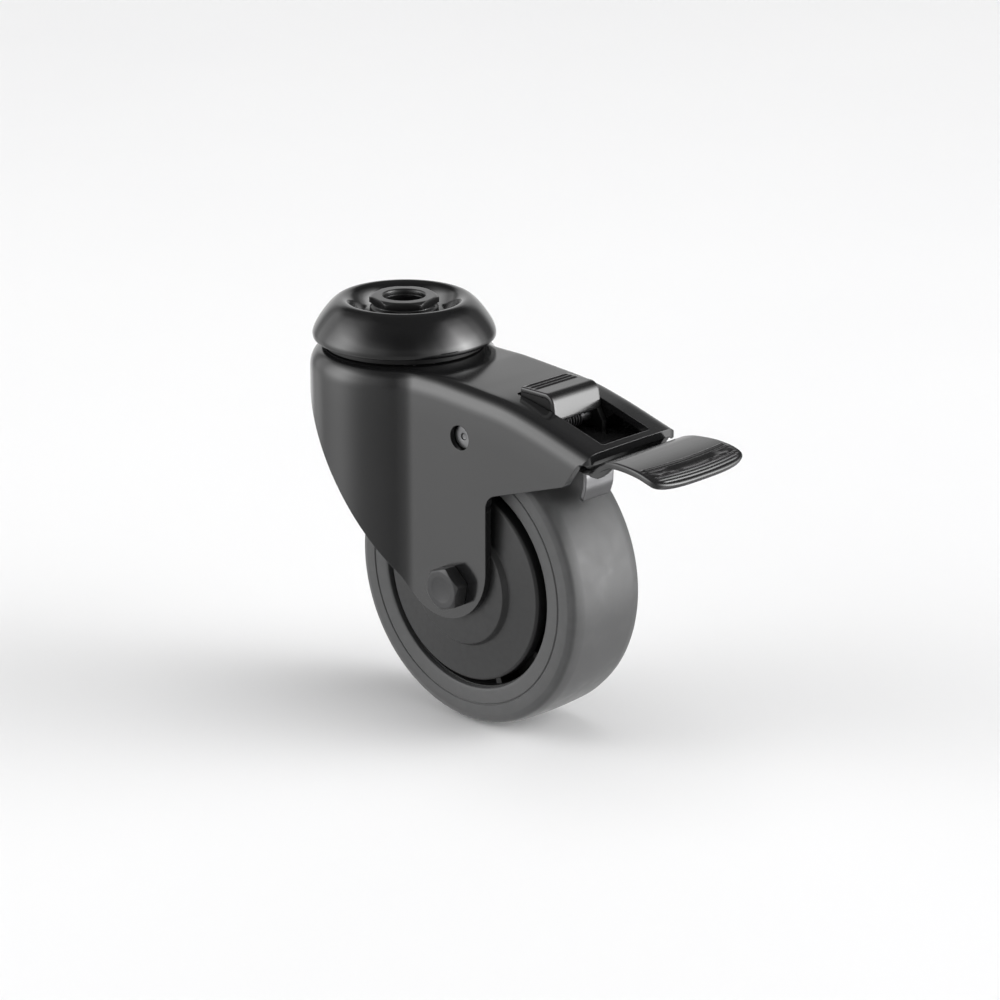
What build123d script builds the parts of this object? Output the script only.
from build123d import *
import math
import os

os.makedirs("parts", exist_ok=True)

# ------------------------------------------------------------------
# Swivel castor with bolt hole, pressed fork, single wheel and a pedal
# brake that locks wheel and swivel.  Millimetres, +Z up.
# Origin: centre of the bolt hole on the top mounting face.
# Z is the swivel axis, +X points to the trailing wheel and the pedal,
# Y runs along the wheel axle.  The front is -X, the rear +X.
# Plane.XZ faces -Y, so its positive offsets lie at negative Y.
# ------------------------------------------------------------------

# wheel
tread_r = 37.5
wheel_half = 12.5           # half of the tread width
trail = 33.0                # swivel offset of the axle
axle_z = -64.7              # axle height below the mounting face
wheel_centre = (trail, 0, axle_z)
rim_r, rim_half = 29.6, 10.6        # seat of the tyre: radius, half width
rim_in_r, hub_r, hub_half = 27.2, 13.6, 12.0
disc_half = 2.0             # half thickness of the disc between hub and rim
rib_n, rib_t, rib_half = 10, 1.8, 8.6
rib_overlap = 0.3           # ribs run this far into hub and rim

# axle and bearings
axle_r = 3.0                # M6 axle bolt
sleeve_in_r, sleeve_r = 3.1, 4.0
collar_r = 5.6              # collar that keeps the bearings apart
bearing_r, bearing_w = 11.0, 7.0
bearing_in = 5.0            # inner end face of each bearing from the centre
bearing_mid = bearing_in + bearing_w / 2
bearing_rows = (-bearing_mid, bearing_mid)
bearing_ring_t = 2.1
ball_r, ball_n, ball_play = 1.985, 7, 0.04
ball_pitch_r = (sleeve_r + bearing_r) / 2
shield_inset = 0.45         # shield's mid plane behind the bearing's end face
guard_r, guard_boss_r = 25.3, 15.5
axle_hex_af = 10.0          # across flats, axle bolt and nut
bolt_turn = 11.5            # turn of the bolt head's corners from vertical
nut_turn = 18               # rotation of the nut's hexagon
bolt_head_h, bolt_tail = 4.0, 7.6   # tail: bolt length beyond the nut-side cheek
nut_hex_h, nut_h = 4.6, 6.0
nut_crown_r = 4.5

# fork housing
plate = 2.0                 # sheet thickness
hood_r = 23.8               # round hood around the swivel axis
cheek_y = 16.7              # outer face of the flat cheeks
cheek_in = cheek_y - plate
neck_r = 6.0                # concave radius between hood and cheek
top_z = -12.6               # top face around the swivel
rear_x, rear_corner_r = 77.2, 3.0
top_round = 3.4             # outer radius between top and sides
lobe_x, lobe_z, lobe_r = 29.3, -58.6, 15.15     # rounded cheek end
lever_x, lever_z = 35.75, -25.7     # brake lever pivot
pivot_hole_r, pivot_boss_r = 3.13, 3.06
fork_bore_r = 9.2
blank_rear, blank_top, blank_bot = 84.0, -5.0, -80.0    # uncut housing
cut_bot = -85.0             # start of tools that pass the blank's bottom
through = 30.0              # reach of cuts that pass right through

# swivel head
bolt_hole_r = 5.25
bush_af, bush_hex_h, bush_turn = 15.6, 2.4, 44
bush_collar_r = 9.0
bush_shoulder_z = -7.0
shank_r = 7.0
swage_z = -21.6
cap_t = 1.4
race_in_r = shank_r
race_z0 = bush_shoulder_z - cap_t   # top of the upper race
race_z1 = -10.0                     # its underside
race_step_z = race_z0 - 0.25
up_ball_r, up_pitch_r, up_z = 2.0, 14.0, -11.2
lo_ball_r, lo_pitch_r, lo_z = 1.75, 12.0, -15.75
groove_play = 0.05
up_groove_r = up_ball_r + groove_play
lo_groove_r = lo_ball_r + groove_play
swivel_balls = 18
spacer_r = 8.6
lo_race_r, lo_race_top, lo_race_bot = 15.0, -16.9, -18.7
crown_bot, tooth_bot = -19.9, -22.8
crown_r, tooth_in_r = 19.0, 15.6
crown_teeth = 24
notch_r, notch_len, notch_w = 17.5, 6.0, 2.4    # radius of the centre, radial length, width

# release tab
tab_y = 8.25                # outer faces of the ears
tab_t = 1.5
tab_z = -12.6               # mid plane of the flat top
tab_bend_r = 1.8
latch_x, latch_z = 56.2, -20.2      # its pin
latch_pin_r, latch_pin_half = 1.5, 10.5
latch_play = 0.06
lug_y, lug_t, lug_r = 8.75, 1.5, 2.8    # inner face, thickness, rounded end
window_front, window_rear, window_half = 46.8, 75.3, 8.5
grip_x, grip_r = (49.3, 50.8, 52.3), 0.38

# brake lever
lever_t = 1.8
web_z = -24.6               # mid plane of the web over the wheel
web_top, web_bot = web_z + lever_t / 2, web_z - lever_t / 2
nose_z = -26.8              # mid plane of the lowered front end
ear_y, ear_t, ear_r, ear_len = 12.85, 1.5, 4.1, 10.5
boss_y, boss_h = 14.2, 1.1
lip_y, lip_t = 12.0, 1.2
prong_r, prong_z, prong_h = 17.3, -26.4, 3.3
hook_slot_x, hook_slot_y = 60.8, 7.5
rivet_x, rivet_r = (48.5, 54.0), 1.5
rivet_head_r, rivet_head_h = 2.4, 0.7
shoe_t, shoe_half, shoe_bend_r = 1.2, 5.0, 1.8

# coil springs
lever_spring_x, lever_spring_r, lever_wire_r, lever_turns = 27.2, 2.7, 0.42, 4.5
spring_gap = 0.02
latch_spring_len, latch_spring_r, latch_wire_r, latch_turns = 5.7, 1.95, 0.3, 6

# section plane of the wheel parts: x = radius, y = along the axle
wheel_section = Plane(origin=wheel_centre, x_dir=(1, 0, 0), z_dir=(0, 0, 1))
# plane across the axle, facing the bolt head at -Y
axle_plane = Plane(origin=wheel_centre, x_dir=(1, 0, 0), z_dir=(0, -1, 0))
axle = Axis(wheel_centre, (0, 1, 0))


def sheet(points, thickness, bend_r):
    """Closed outline of a bent sheet along a centre line."""
    with BuildLine(mode=Mode.PRIVATE) as mid:
        FilletPolyline(*points, radius=bend_r)
    return Wire(mid.edges()).offset_2d(thickness / 2, kind=Kind.ARC, side=Side.BOTH)


def offset_points(points, distance):
    """Points moved by distance to the right of the direction of travel."""
    moved = []
    for i, (x, y) in enumerate(points):
        x0, y0 = points[max(i - 1, 0)]
        x1, y1 = points[min(i + 1, len(points) - 1)]
        chord = math.hypot(x1 - x0, y1 - y0)
        moved.append((x + (y1 - y0) / chord * distance, y - (x1 - x0) / chord * distance))
    return moved


def mirrored(points):
    """Points mirrored about the x axis, in reverse order."""
    return [(x, -y) for x, y in reversed(points)]


def turned(profile, plane=Plane.XZ, axis=Axis.Z, groove=None):
    """Closed profile turned about axis; groove = (x, y, radius) of a ball groove."""
    with BuildPart() as ring:
        with BuildSketch(plane):
            with BuildLine():
                Polyline(*profile, close=True)
            make_face()
            if groove:
                with Locations(groove[:2]):
                    Circle(groove[2], mode=Mode.SUBTRACT)
        revolve(axis=axis)
    return ring


def swivel_ball_row(radius, pitch_r, z):
    with BuildPart() as row:
        with Locations((0, 0, z)):
            with PolarLocations(pitch_r, swivel_balls):
                Sphere(radius)
    return row


def coil(turns, length, radius, wire_r, start, direction=(0, 0, 1)):
    with BuildPart() as spring:
        with BuildLine() as path:
            Helix(pitch=length / turns, height=length, radius=radius,
                  center=start, direction=direction)
        with BuildSketch(Plane(origin=path.line @ 0, z_dir=path.line % 0)):
            Circle(wire_r)
        sweep(is_frenet=True)
    return spring


# ==================================================================
# SWIVEL HEAD (fixed to the furniture)
# ==================================================================
# (radius, z): cone that rounds off the corners of the bush's hexagon
bush_hex_cone = [(0, 0), (8.2, 0), (9.1, -0.75), (9.6, -3.0), (0, -3.0)]
# (radius, z): collar, shank and swaged lower end
bush_body = [
    (bolt_hole_r, -bush_hex_h), (bush_collar_r - 0.7, -bush_hex_h),
    (bush_collar_r - 0.4, -2.9), (bush_collar_r, -3.3),
    (bush_collar_r, bush_shoulder_z), (shank_r, bush_shoulder_z),
    (shank_r, crown_bot), (9.0, crown_bot), (9.0, -21.0),
    (8.2, swage_z), (bolt_hole_r, swage_z),
]
with BuildPart() as king_bush:
    with BuildSketch(Plane.XY.offset(-bush_hex_h)):
        RegularPolygon(radius=bush_af / math.sqrt(3), side_count=6, rotation=bush_turn)
    extrude(amount=bush_hex_h)
    with BuildSketch(Plane.XZ):
        with BuildLine():
            Polyline(*bush_hex_cone, close=True)
        make_face()
    revolve(axis=Axis.Z, mode=Mode.INTERSECT)
    with BuildSketch(Plane.XZ):
        with BuildLine():
            Polyline(*bush_body, close=True)
        make_face()
    revolve(axis=Axis.Z)
    Hole(radius=bolt_hole_r, depth=through)
    top_circles = king_bush.edges().filter_by(GeomType.CIRCLE).group_by(Axis.Z)[-1]
    chamfer(top_circles.sort_by(SortBy.RADIUS)[0], 0.5)

# (radius, z): upper surface of the dust cap from its flat centre to the rim
cap_out = [
    (9.9, -7.0), (11.2, -6.1), (12.3, -3.9), (13.6, -1.75), (14.6, -0.85),
    (15.8, -0.5), (17.0, -0.85), (18.4, -1.95), (20.6, -4.5), (22.3, -6.9),
    (23.0, -8.5), (23.1, -9.6), (22.9, -10.5),
]
# the first two points of the lower surface ease the tight inner bend
cap_in = [(cap_out[0][0], cap_out[0][1] - cap_t), (11.75, -7.9),
          *offset_points(cap_out, cap_t)[2:]]
with BuildPart() as dust_cap:
    with BuildSketch(Plane.XZ):
        with BuildLine():
            Line((race_in_r, bush_shoulder_z), cap_out[0])
            Spline(*cap_out)
            Line(cap_out[-1], cap_in[-1])
            Spline(*reversed(cap_in))
            Line(cap_in[0], (race_in_r, race_z0))
            Line((race_in_r, race_z0), (race_in_r, bush_shoulder_z))
        make_face()
    revolve(axis=Axis.Z)

upper_race = turned([
    (race_in_r, race_z0), (9.8, race_z0), (10.1, race_step_z), (17.0, race_step_z),
    (17.0, race_z1 + 0.8), (20.2, race_z1 + 0.8), (20.2, race_z1 - 2.25),
    (19.0, race_z1 - 2.25), (19.0, race_z1 - 0.2), (17.0, race_z1), (race_in_r, race_z1),
], groove=(up_pitch_r, up_z, up_groove_r))

with BuildPart() as race_spacer:
    with BuildSketch(Plane.XY.offset(lo_race_top)):
        Circle(spacer_r)
        Circle(race_in_r, mode=Mode.SUBTRACT)
    extrude(amount=race_z1 - lo_race_top)

lower_race = turned([
    (race_in_r, lo_race_top), (lo_race_r, lo_race_top),
    (lo_race_r, lo_race_bot), (race_in_r, lo_race_bot),
], groove=(lo_pitch_r, lo_z, lo_groove_r))

with BuildPart() as swivel_lock_crown:
    with BuildSketch(Plane.XZ):
        with BuildLine():
            Polyline((race_in_r, lo_race_bot), (crown_r, lo_race_bot), (crown_r, tooth_bot),
                     (tooth_in_r, tooth_bot), (tooth_in_r, crown_bot),
                     (race_in_r, crown_bot), close=True)
        make_face()
    revolve(axis=Axis.Z)
    # notches between the teeth
    with BuildSketch(Plane.XY.offset(crown_bot)):
        with PolarLocations(notch_r, crown_teeth):
            Rectangle(notch_len, notch_w)
    extrude(amount=-6, mode=Mode.SUBTRACT)

upper_swivel_balls = swivel_ball_row(up_ball_r, up_pitch_r, up_z)
lower_swivel_balls = swivel_ball_row(lo_ball_r, lo_pitch_r, lo_z)

# ==================================================================
# FORK HOUSING: one pressed sheet, round hood in front, flat cheeks behind
# ==================================================================
# (x, z): top surface from the swivel to the rear
top_line = [(27.0, top_z), (39.7, -13.6), (50.4, -14.75),
            (61.0, -17.1), (71.5, -20.0), (79.0, -22.2)]
front_nx, front_nz = -0.796, -0.606     # outward normal of the straight front edge
front_len = 56.0
front_low = (lobe_x + lobe_r * front_nx, lobe_z + lobe_r * front_nz)
front_high = (front_low[0] + front_len * front_nz, front_low[1] - front_len * front_nx)
lobe_rear_x = lobe_x + lobe_r
# (x, z): lug that hangs down beside the window
lug_outline = [(51.0, -15.4), (51.0, -17.6), (53.5, -20.6),
               (59.0, -20.6), (63.0, -18.9), (63.0, -18.0)]


def side_profile(drop=0.0, skirt=False):
    """Side outline of the housing, its top lowered by drop.

    Without skirt it runs straight down past the bottom of the blank.
    """
    top = [(x, z - drop) for x, z in top_line]
    start = (-30, top_z - drop)
    with BuildLine(mode=Mode.PRIVATE) as outline:
        Line(start, top[0])
        Spline(*top, tangents=[(1, 0), (1, -0.29)])
        if skirt:
            # lower edge of the rear part, sloping down towards the wheel
            Polyline(top[-1], (79.0, -23.9), (74.9, -23.55), (71.9, -27.9))
            ThreePointArc((71.9, -27.9), (70.9, -29.3), (69.0, -30.55))
            Line((69.0, -30.55), (47.6, -37.85))
            ThreePointArc((47.6, -37.85), (45.3, -39.5), (lobe_rear_x, -42.4))
            # around the axle and up the front edge
            Line((lobe_rear_x, -42.4), (lobe_rear_x, lobe_z))
            ThreePointArc((lobe_rear_x, lobe_z), (lobe_x, lobe_z - lobe_r), front_low)
            Line(front_low, front_high)
            ThreePointArc(front_high, (-19.7, -20.0), (-24.6, -17.6))
            Polyline((-24.6, -17.6), (-30, -17.0), start)
        else:
            Polyline(top[-1], (blank_rear, -24.4), (blank_rear, -90), (-30, -90), start)
    return outline.line


def housing_plan(inset=0.0):
    """Plan outline of the housing, moved inwards by inset."""
    hood, cheek, neck = hood_r - inset, cheek_y - inset, neck_r + inset
    neck_y = cheek + neck
    neck_x = math.sqrt((hood + neck) ** 2 - neck_y ** 2)
    share = hood / (hood + neck)
    # where hood and neck meet, and a point on the neck's arc
    join_x, join_y = neck_x * share, neck_y * share
    arc_x, arc_y = neck_x - neck * math.sin(0.34), neck_y - neck * math.cos(0.34)
    with BuildLine(mode=Mode.PRIVATE) as outline:
        ThreePointArc((join_x, join_y), (-hood, 0), (join_x, -join_y))
        ThreePointArc((join_x, -join_y), (arc_x, -arc_y), (neck_x, -cheek))
        Polyline((neck_x, -cheek), (blank_rear, -cheek), (blank_rear, cheek), (neck_x, cheek))
        ThreePointArc((neck_x, cheek), (arc_x, arc_y), (join_x, join_y))
    return outline.line


def top_rim(body):
    """Outer edges of the upward faces, without the seams between them and the rear end."""
    tops = [f for f in body.faces() if f.normal_at(f.center()).Z > 0.8]
    edges = [e for f in tops for e in f.edges()]
    rim = [e for e in edges
           if sum(1 for o in edges if (o.center() - e.center()).length < 1e-4) == 1]
    return [e for e in rim if e.center().X < blank_rear - 0.5]


with BuildPart() as fork_housing:
    with BuildSketch(Plane.XY.offset(blank_bot)):
        add(housing_plan())
        make_face()
    extrude(amount=blank_top - blank_bot)
    with BuildSketch(Plane.XZ):
        add(side_profile())
        make_face()
    extrude(amount=through, both=True, mode=Mode.INTERSECT)
    fillet(top_rim(fork_housing), top_round)
    # hollow inside
    with BuildPart(mode=Mode.PRIVATE) as hollow:
        with BuildSketch(Plane.XY.offset(cut_bot)):
            add(housing_plan(plate))
            make_face()
        extrude(amount=blank_top - cut_bot)
        with BuildSketch(Plane.XZ):
            add(side_profile(plate))
            make_face()
        extrude(amount=through, both=True, mode=Mode.INTERSECT)
        fillet(top_rim(hollow), top_round - plate)
    add(hollow.part, mode=Mode.SUBTRACT)
    # rear end with rounded corners; the wide rectangle spares the hood
    with BuildSketch(Plane.XY.offset(cut_bot)) as rear_trim:
        with Locations(((rear_x - 60) / 2, 0)):
            Rectangle(rear_x + 60, 2 * cheek_y)
        with Locations((-10, 0)):
            Rectangle(60, 80)
        fillet(rear_trim.vertices().group_by(Axis.X)[-1], rear_corner_r)
    extrude(amount=blank_top - cut_bot, mode=Mode.INTERSECT)
    # side outline of the skirt
    with BuildSketch(Plane.XZ):
        add(side_profile(skirt=True))
        make_face()
    extrude(amount=through, both=True, mode=Mode.INTERSECT)
    # swivel bore with upper and lower ball grooves
    with BuildSketch(Plane.XY):
        Circle(fork_bore_r)
    extrude(amount=-through, mode=Mode.SUBTRACT)
    with BuildSketch(Plane.XZ):
        with Locations((up_pitch_r, up_z)):
            Circle(up_groove_r)
        with Locations((lo_pitch_r, lo_z)):
            Circle(lo_groove_r)
    revolve(axis=Axis.Z, mode=Mode.SUBTRACT)
    # window for the release tab
    with BuildSketch(Plane.XY):
        with Locations(((window_front + window_rear) / 2, 0)):
            RectangleRounded(window_rear - window_front, 2 * window_half, 1.0)
    extrude(amount=-through, mode=Mode.SUBTRACT)
    # lugs beside the window carry the release tab's pin
    for offset in (lug_y, -lug_y - lug_t):
        with BuildSketch(Plane.XZ.offset(offset)):
            with BuildLine():
                Polyline(*lug_outline, close=True)
            make_face()
            with Locations((latch_x, latch_z)):
                Circle(lug_r)
        extrude(amount=lug_t)
    with BuildSketch(Plane.XZ):
        with Locations((latch_x, latch_z)):
            Circle(latch_pin_r)
    extrude(amount=latch_pin_half, both=True, mode=Mode.SUBTRACT)
    # pivot holes of the brake lever and axle holes
    with BuildSketch(Plane.XZ):
        with Locations((lever_x, lever_z)):
            Circle(pivot_hole_r)
        with Locations((trail, axle_z)):
            Circle(axle_r)
    extrude(amount=through, both=True, mode=Mode.SUBTRACT)

# ==================================================================
# AXLE GROUP (fixed to the fork)
# ==================================================================
# (radius, distance outwards from the cheek): rounded envelopes of head and nut
bolt_envelope = [(0, 0), (6.2, 0), (6.2, 3.1), (5.0, 3.75), (4.6, bolt_head_h), (0, bolt_head_h)]
nut_envelope = [(0, 0), (5.2, 0), (6.2, 0.6), (6.2, 3.9), (5.0, nut_hex_h), (nut_crown_r, 4.7),
                (nut_crown_r, 5.5), (4.0, nut_h), (0, nut_h)]

with BuildPart() as axle_bolt:
    with BuildSketch(axle_plane.offset(cheek_y)):
        RegularPolygon(radius=axle_hex_af / math.sqrt(3), side_count=6, rotation=90 - bolt_turn)
    extrude(amount=bolt_head_h)
    with BuildSketch(wheel_section):
        with BuildLine():
            Polyline(*[(r, -cheek_y - out) for r, out in bolt_envelope], close=True)
        make_face()
    revolve(axis=axle, mode=Mode.INTERSECT)
    with BuildSketch(axle_plane.offset(cheek_y)):
        Circle(axle_r)
    extrude(amount=-(2 * cheek_y + bolt_tail))
    chamfer(axle_bolt.edges().filter_by(GeomType.CIRCLE).sort_by(Axis.Y)[-1], 0.6)

with BuildPart() as axle_nut:
    with BuildSketch(axle_plane.offset(-cheek_y)):
        RegularPolygon(radius=axle_hex_af / math.sqrt(3), side_count=6, rotation=nut_turn)
    extrude(amount=-nut_hex_h)
    with BuildSketch(axle_plane.offset(-cheek_y)):
        Circle(nut_crown_r)
    extrude(amount=-nut_h)
    with BuildSketch(wheel_section):
        with BuildLine():
            Polyline(*[(r, cheek_y + out) for r, out in nut_envelope], close=True)
        make_face()
    revolve(axis=axle, mode=Mode.INTERSECT)
    with BuildSketch(axle_plane.offset(-cheek_y)):
        Circle(axle_r)
    extrude(amount=-10, mode=Mode.SUBTRACT)

axle_sleeve = turned([
    (sleeve_in_r, -cheek_in), (sleeve_r, -cheek_in), (sleeve_r, -bearing_in),
    (collar_r, -bearing_in), (collar_r, bearing_in), (sleeve_r, bearing_in),
    (sleeve_r, cheek_in), (sleeve_in_r, cheek_in),
], wheel_section, axle)

# (radius, y): guard on the nut side; the near one, at -Y, is its mirror image
guard_profile = [
    (sleeve_r, 12.0), (6.2, 12.0), (6.2, 12.4), (24.1, 12.0), (24.1, 9.6), (guard_r, 9.6),
    (guard_r, 12.2), (24.8, 12.75), (guard_boss_r + 0.5, 13.3),
    (guard_boss_r - 0.6, cheek_in), (sleeve_r, cheek_in),
]
thread_guard_near = turned(mirrored(guard_profile), wheel_section, axle)
thread_guard_far = turned(guard_profile, wheel_section, axle)

with BuildPart() as bearing_inner_rings:
    with BuildSketch(wheel_section):
        with Locations(*[(sleeve_r + bearing_ring_t / 2, y) for y in bearing_rows]):
            Rectangle(bearing_ring_t, bearing_w)
        with Locations(*[(ball_pitch_r, y) for y in bearing_rows]):
            Circle(ball_r + ball_play, mode=Mode.SUBTRACT)
    revolve(axis=axle)

# ==================================================================
# WHEEL (turns on the bearings)
# ==================================================================
shield_rows = [y + end * (bearing_w / 2 - shield_inset) for y in bearing_rows for end in (-1, 1)]

with BuildPart() as bearing_outer_rings:
    with BuildSketch(wheel_section):
        with Locations(*[(bearing_r - bearing_ring_t / 2, y) for y in bearing_rows]):
            Rectangle(bearing_ring_t, bearing_w)
        with Locations(*[(ball_pitch_r, y) for y in bearing_rows]):
            Circle(ball_r + ball_play, mode=Mode.SUBTRACT)
        # grooves that hold the shields
        with Locations(*[(9.15, y) for y in shield_rows]):
            Rectangle(0.7, 0.4, mode=Mode.SUBTRACT)
    revolve(axis=axle)

with BuildPart() as bearing_shields:
    with BuildSketch(wheel_section):
        with Locations(*[(7.9, y) for y in shield_rows]):
            Rectangle(3.2, 0.3)
    revolve(axis=axle)

# (radius, y): +Y half of the rim section; the step at 9.6 parts the bearings
rim_profile = [
    (rim_r, rim_half), (rim_in_r, rim_half), (rim_in_r, disc_half), (hub_r, disc_half),
    (hub_r, hub_half), (bearing_r, hub_half), (bearing_r, bearing_in), (9.6, bearing_in),
]
with BuildPart() as wheel_rim:
    with BuildSketch(wheel_section):
        with BuildLine():
            Polyline(*rim_profile, *mirrored(rim_profile), close=True)
        make_face()
    revolve(axis=axle)
    # ribs between hub and rim
    with BuildSketch(axle_plane):
        with PolarLocations((hub_r + rim_in_r) / 2, rib_n):
            Rectangle(rim_in_r - hub_r + 2 * rib_overlap, rib_t)
    extrude(amount=rib_half, both=True)
    fillet(wheel_rim.edges().filter_by(GeomType.CIRCLE).filter_by(
        lambda e: abs(e.radius - hub_r) < 0.01
        and abs(abs(e.arc_center.Y) - hub_half) < 0.01), 0.5)

# (radius, y): +Y side of the tyre from its seat to the shoulder
tyre_side = [(rim_r, rim_half), (27.55, rim_half), (27.55, 11.7), (27.95, 12.1),
             (31.5, 12.35), (31.7, 12.15), (31.95, 12.4), (34.4, wheel_half)]
# (radius, y): rounded shoulder up to the tread
tyre_shoulder = [(34.4, wheel_half), (35.9, 12.15), (36.75, 11.1), (37.2, 8.8)]
with BuildPart() as tyre:
    with BuildSketch(wheel_section):
        with BuildLine():
            Polyline(*mirrored(tyre_side), *tyre_side)
            Spline(*tyre_shoulder, tangents=[(1, 0.04), (0.17, -1)])
            Spline((37.2, 8.8), (tread_r, 0), (37.2, -8.8), tangents=[(0.08, -1), (-0.08, -1)])
            Spline(*mirrored(tyre_shoulder), tangents=[(-0.17, -1), (-1, 0.04)])
        make_face()
    revolve(axis=axle)

# ==================================================================
# BEARING BALLS AND CAGES (turn at the cage speed)
# ==================================================================
with BuildPart() as bearing_balls:
    for y in bearing_rows:
        with BuildPart(mode=Mode.PRIVATE) as row:
            with Locations(Plane(origin=(trail, y, axle_z), x_dir=(1, 0, 0), z_dir=(0, -1, 0))):
                with PolarLocations(ball_pitch_r, ball_n):
                    Sphere(ball_r)
        add(row.part)

with BuildPart() as bearing_cages:
    with BuildSketch(wheel_section):
        with Locations(*[(ball_pitch_r, y) for y in bearing_rows]):
            Rectangle(0.9, 5.2)
    revolve(axis=axle)
    # a radial pocket for each ball
    for y in bearing_rows:
        for k in range(ball_n):
            angle = 2 * math.pi * k / ball_n
            with BuildSketch(Plane(origin=(trail, y, axle_z),
                                   x_dir=(-math.sin(angle), 0, math.cos(angle)),
                                   z_dir=(math.cos(angle), 0, math.sin(angle)))):
                Circle(ball_r + 0.1)
            extrude(amount=9.0, mode=Mode.SUBTRACT)

# ==================================================================
# BRAKE LEVER: pedal, web over the wheel, pivot ears, swivel lock prongs
# ==================================================================
# (x, z): centre line of the pedal from the web to its rear edge
pedal_line = [
    (66.34, -24.58), (69.8, -25.23), (72.83, -26.03), (75.08, -26.2), (76.79, -25.66),
    (78.28, -24.71), (79.74, -23.79), (81.71, -22.8), (84.15, -22.19), (86.54, -22.0),
    (89.0, -21.95), (90.94, -22.02), (92.88, -22.22), (94.8, -22.56), (96.7, -23.1),
    (98.1, -23.7), (99.56, -24.53),
]
# (x, z): upper side of nose and web, then the lower side back to the front
lever_top = [(15.4, nose_z + lever_t / 2), (19.5, nose_z + lever_t / 2),
             (22.8, web_top), (66.0, web_top)]
lever_bottom = [(66.0, web_bot), (23.6, web_bot),
                (20.3, nose_z - lever_t / 2), (15.4, nose_z - lever_t / 2)]
# (x, half width): plan of nose and web, then of the pedal
lever_plan = [
    (15.4, 6.2), (21.0, 6.2), (26.5, 13.6), (30.5, 14.35), (42.0, 14.35), (45.0, 13.4),
    (60.0, 13.2), (76.0, 13.2), (80.0, 13.8), (84.0, 14.6), (87.0, 15.1), (90.0, 15.5),
    (93.0, 15.8), (95.5, 16.05), (97.5, 15.85), (98.4, 15.15), (99.0, 13.9),
    (99.45, 12.15), (99.75, 9.9), (99.95, 7.0), (100.05, 3.3),
]
# (x, z): lip under each side of the pedal's root
lip_outline = [(75.0, -26.3), (75.4, -27.2), (77.8, -27.15), (79.3, -26.4),
               (80.6, -25.5), (82.6, -23.3), (80.0, -23.6), (77.0, -25.4)]

with BuildPart() as brake_lever:
    with BuildSketch(Plane.XZ):
        with BuildLine():
            pedal_top = offset_points(pedal_line, -lever_t / 2)[1:]
            pedal_bottom = offset_points(pedal_line, lever_t / 2)[1:]
            Polyline(*lever_top, *pedal_top, *reversed(pedal_bottom), *lever_bottom, close=True)
        make_face()
    extrude(amount=20, both=True)
    # plan outline
    with BuildSketch(Plane.XY.offset(-40)):
        with BuildLine():
            Polyline(*lever_plan, *mirrored(lever_plan), close=True)
        make_face()
    extrude(amount=30, mode=Mode.INTERSECT)
    # turned-down lips at the pedal's root
    for y in (lip_y, -lip_y - lip_t):
        with BuildSketch(Plane.XZ.offset(-y)):
            with BuildLine():
                Polyline(*lip_outline, close=True)
            make_face()
        extrude(amount=-lip_t)
    # slots for the release tab's hooks
    with BuildSketch(Plane.XY.offset(-20)):
        with Locations((hook_slot_x, hook_slot_y), (hook_slot_x, -hook_slot_y)):
            Rectangle(5.6, 2.9)
    extrude(amount=-10, mode=Mode.SUBTRACT)
    # pivot ears beside the tyre, each with a pushed-out boss
    for side in (1, -1):
        with BuildSketch(Plane.XZ.offset(side * ear_y)):
            with Locations((lever_x, lever_z)):
                Circle(ear_r)
            with Locations((lever_x, web_z)):
                Rectangle(ear_len, lever_t)
        extrude(amount=side * ear_t)
    for side in (1, -1):
        with BuildSketch(Plane.XZ.offset(side * boss_y)):
            with Locations((lever_x, lever_z)):
                Circle(pivot_boss_r)
        extrude(amount=side * boss_h)
    # three prongs that stand under neighbouring notches of the crown
    with BuildSketch(Plane.XY.offset(prong_z)):
        for k in (0, -1, 1):
            turn = k * 360 / crown_teeth
            prong_x = prong_r * math.cos(math.radians(turn))
            prong_y = prong_r * math.sin(math.radians(turn))
            with Locations(Location((prong_x, prong_y, 0), (0, 0, turn))):
                Rectangle(2.4, 1.7)
    extrude(amount=prong_h)
    # rivet holes of the shoe spring
    with BuildSketch(Plane.XY.offset(-20)):
        with Locations(*[(x, 0) for x in rivet_x]):
            Circle(rivet_r)
    extrude(amount=-10, mode=Mode.SUBTRACT)

# leaf under the web, bent down behind the tyre
shoe_mid_z = web_bot - shoe_t / 2
shoe_line = [(44.0, shoe_mid_z), (65.6, shoe_mid_z), (66.3, -34.0), (65.25, -37.5)]
with BuildPart() as brake_shoe_spring:
    with BuildSketch(Plane.XZ):
        add(sheet(shoe_line, shoe_t, shoe_bend_r))
        make_face()
    extrude(amount=shoe_half, both=True)
    with BuildSketch(Plane.XY.offset(-20)):
        with Locations(*[(x, 0) for x in rivet_x]):
            Circle(rivet_r)
    extrude(amount=-10, mode=Mode.SUBTRACT)

# (radius, z): shank through web and leaf with a bevelled head at each end
rivet_low = web_bot - shoe_t
rivet_profile = [
    (0, rivet_low - rivet_head_h), (1.9, rivet_low - rivet_head_h),
    (rivet_head_r, rivet_low - 0.3), (rivet_head_r, rivet_low), (rivet_r, rivet_low),
    (rivet_r, web_top), (rivet_head_r, web_top), (rivet_head_r, web_top + 0.3),
    (1.9, web_top + rivet_head_h), (0, web_top + rivet_head_h),
]
with BuildPart() as shoe_rivets:
    for x in rivet_x:
        with BuildSketch(Plane.XZ):
            with BuildLine():
                Polyline(*[(x + r, z) for r, z in rivet_profile], close=True)
            make_face()
        revolve(axis=Axis((x, 0, 0), (0, 0, 1)))

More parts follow.
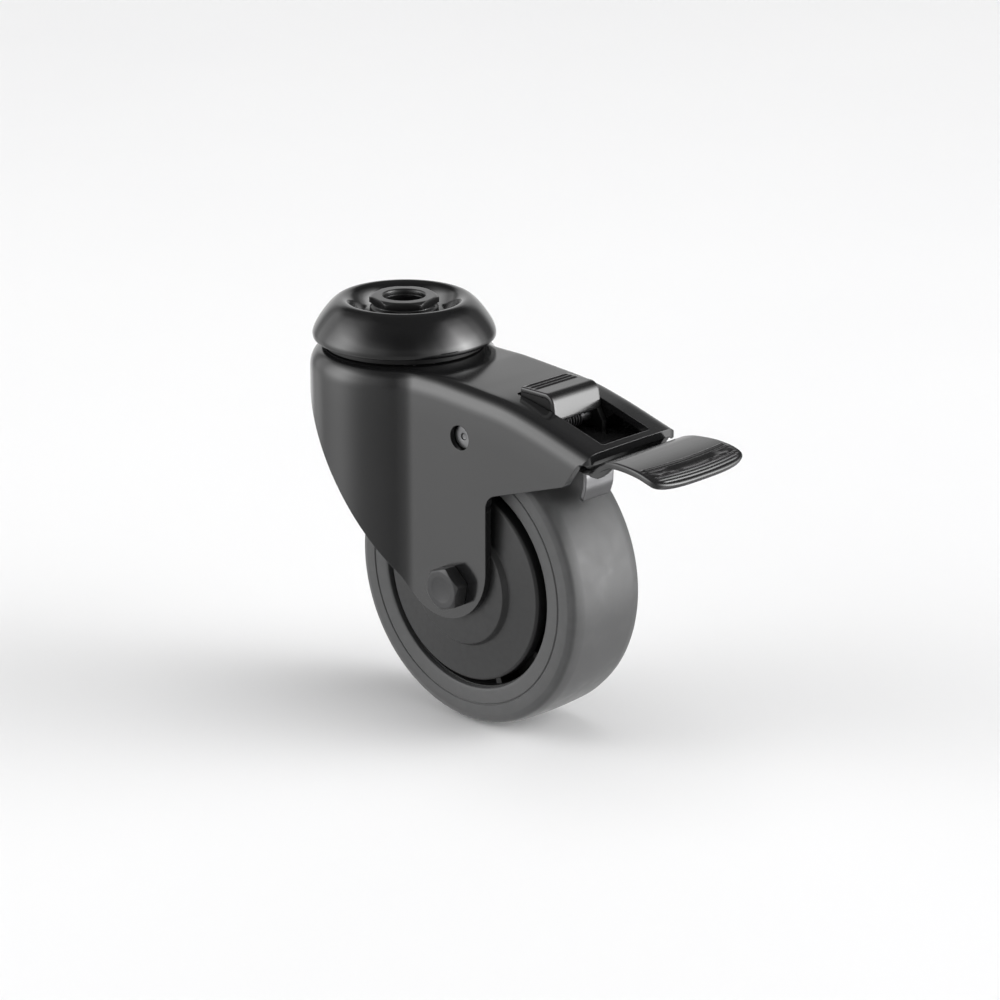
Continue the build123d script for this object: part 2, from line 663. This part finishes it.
# ------------------------------------------------------------------
# coil springs
# ------------------------------------------------------------------
# upright between the lever's web and the underside of the housing's top
lever_spring_low = web_top + lever_wire_r + spring_gap
lever_spring_high = top_z - plate - lever_wire_r - spring_gap
lever_spring = coil(lever_turns, lever_spring_high - lever_spring_low, lever_spring_r,
                    lever_wire_r, (lever_spring_x, 0, lever_spring_low))

# around the latch pin
latch_spring = coil(latch_turns, latch_spring_len, latch_spring_r, latch_wire_r,
                    (latch_x, latch_spring_len / 2, latch_z), direction=(0, -1, 0))

# ==================================================================
# RELEASE TAB: ribbed top, bent-down flap at its rear, side ears with hooks, its pin
# ==================================================================
# (x, z): side ear, with the hook at its lower rear
tab_ear = [
    (48.2, tab_z), (48.2, -15.4), (50.2, -16.6), (53.6, -20.6), (54.2, -22.0),
    (55.6, -22.8), (57.6, -22.9), (59.5, -22.6), (59.5, -25.75), (58.15, -25.75),
    (58.15, -26.6), (58.6, -27.05), (61.2, -27.05), (61.2, -21.0), (59.35, -18.2),
    (58.4, -13.8), (57.6, tab_z),
]
with BuildPart() as release_tab:
    with BuildSketch(Plane.XZ):
        add(sheet([(48.75, tab_z), (57.95, tab_z), (58.9, -17.75)], tab_t, tab_bend_r))
        make_face()
    extrude(amount=tab_y, both=True)
    # grip ribs
    with BuildSketch(Plane.XZ):
        with Locations(*[(x, tab_z + tab_t / 2) for x in grip_x]):
            Circle(grip_r)
    extrude(amount=tab_y - 0.4, both=True)
    for side in (1, -1):
        with BuildSketch(Plane.XZ.offset(side * tab_y)):
            with BuildLine():
                Polyline(*tab_ear, close=True)
            make_face()
            with Locations((latch_x, latch_z)):
                Circle(latch_pin_r + latch_play, mode=Mode.SUBTRACT)
        extrude(amount=-side * tab_t)

with BuildPart() as latch_pin:
    with BuildSketch(Plane.XZ):
        with Locations((latch_x, latch_z)):
            Circle(latch_pin_r)
    extrude(amount=latch_pin_half, both=True)
    chamfer(latch_pin.edges().filter_by(GeomType.CIRCLE), 0.3)

# ==================================================================
pieces = {
    "king_bush": king_bush, "dust_cap": dust_cap, "upper_race": upper_race,
    "race_spacer": race_spacer, "lower_race": lower_race,
    "swivel_lock_crown": swivel_lock_crown, "upper_swivel_balls": upper_swivel_balls,
    "lower_swivel_balls": lower_swivel_balls, "fork_housing": fork_housing,
    "axle_bolt": axle_bolt, "axle_nut": axle_nut, "axle_sleeve": axle_sleeve,
    "thread_guard_near": thread_guard_near, "thread_guard_far": thread_guard_far,
    "bearing_inner_rings": bearing_inner_rings, "bearing_outer_rings": bearing_outer_rings,
    "bearing_shields": bearing_shields, "wheel_rim": wheel_rim, "tyre": tyre,
    "bearing_balls": bearing_balls, "bearing_cages": bearing_cages,
    "brake_lever": brake_lever, "brake_shoe_spring": brake_shoe_spring,
    "shoe_rivets": shoe_rivets, "lever_spring": lever_spring, "release_tab": release_tab,
    "latch_pin": latch_pin, "latch_spring": latch_spring,
}
for label, piece in pieces.items():
    piece.part.label = label
    export_step(piece.part, "parts/" + label + ".step")
